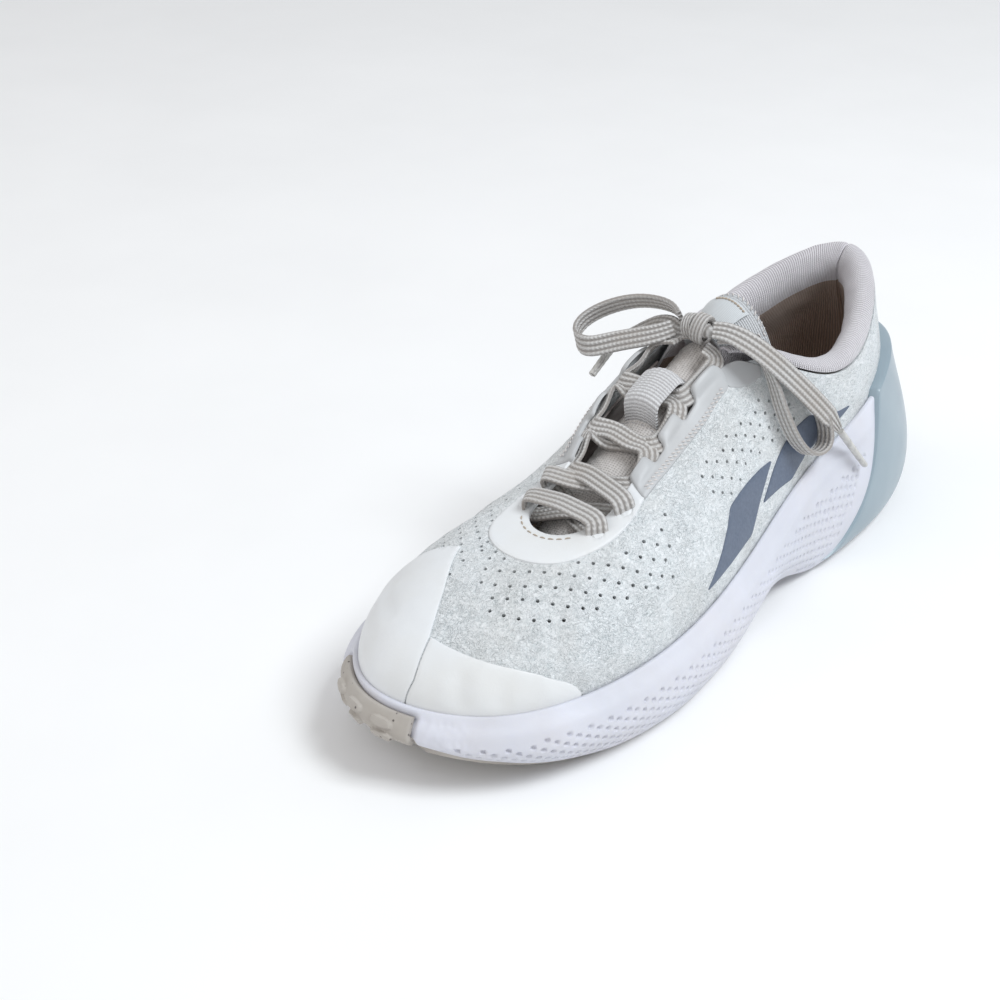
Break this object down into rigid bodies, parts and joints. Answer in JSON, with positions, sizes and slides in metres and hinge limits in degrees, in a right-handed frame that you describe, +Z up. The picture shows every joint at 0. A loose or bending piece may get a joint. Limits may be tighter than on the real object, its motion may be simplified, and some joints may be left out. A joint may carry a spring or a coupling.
{
  "type": "court shoe",
  "caption": "Low laced court shoe for the left foot: suede upper, padded collar, hinged tongue, foam midsole with side wings, moulded heel clip and rubber outsole.",
  "frame": {"origin": "on the ground plane, at the centre of the shoe's length and width, measured without the free lace", "axes": "+Z up, toe towards -Y, heel towards +Y, lateral (outer) side towards +X"},
  "size_m": [0.1074, 0.299, 0.1089],
  "materials": {
    "suede": "napped, matt",
    "smooth_synthetic": "smooth, satin",
    "moulded_eyestay": "soft moulded, satin",
    "slate_mark": "printed, satin",
    "stiffener_board": "matt",
    "lining_textile": "ribbed knit",
    "open_foam": "open foam",
    "sockliner_foam": "brushed textile",
    "midsole_foam": "moulded foam, satin",
    "clip_plastic": "translucent, gloss",
    "speckled_rubber": "speckled, matt",
    "shank_plastic": "satin",
    "tongue_mesh": "waffle mesh",
    "label_satin": "satin",
    "webbing": "ribbed webbing",
    "lace_braid": "flat braid",
    "aglet_plastic": "clear film"
  },
  "bodies": {
    "shoe": {"upper_suede": "suede", "toe_cap": "smooth_synthetic", "toe_overlay_lateral": "smooth_synthetic", "vamp_eyelet_patch": "smooth_synthetic", "eyestay_lateral": "moulded_eyestay", "eyestay_medial": "moulded_eyestay", "eyelet_tab_lateral": "smooth_synthetic", "eyelet_tab_medial": "smooth_synthetic", "side_mark_front": "slate_mark", "side_mark_rear": "slate_mark", "toe_puff": "stiffener_board", "heel_counter": "stiffener_board", "vamp_lining": "lining_textile", "collar_lining": "lining_textile", "collar_foam": "open_foam", "strobel_board": "stiffener_board", "sockliner": "sockliner_foam", "midsole": "midsole_foam", "heel_clip": "clip_plastic", "toe_bumper": "speckled_rubber", "outsole_forefoot": "speckled_rubber", "outsole_heel": "speckled_rubber", "midfoot_shank": "shank_plastic", "lace": "lace_braid", "lace_knot": "lace_braid", "lace_bow_left": "lace_braid", "lace_bow_right": "lace_braid", "lace_end_left": "lace_braid", "lace_end_right": "lace_braid", "aglet_left": "aglet_plastic", "aglet_right": "aglet_plastic"},
    "tongue_flap": {"tongue": "tongue_mesh", "tongue_top_pad": "tongue_mesh", "tongue_label": "label_satin", "lace_keeper": "webbing"}
  },
  "joints": [
    {"name": "tongue_hinge", "type": "hinge", "parent": "shoe", "child": "tongue_flap", "pos_m": [-0.00023, -0.06642, 0.052], "axis": [1, 0, 0], "range_deg": [-2, 0], "stiffness_Nm_per_rad": 2}
  ]
}
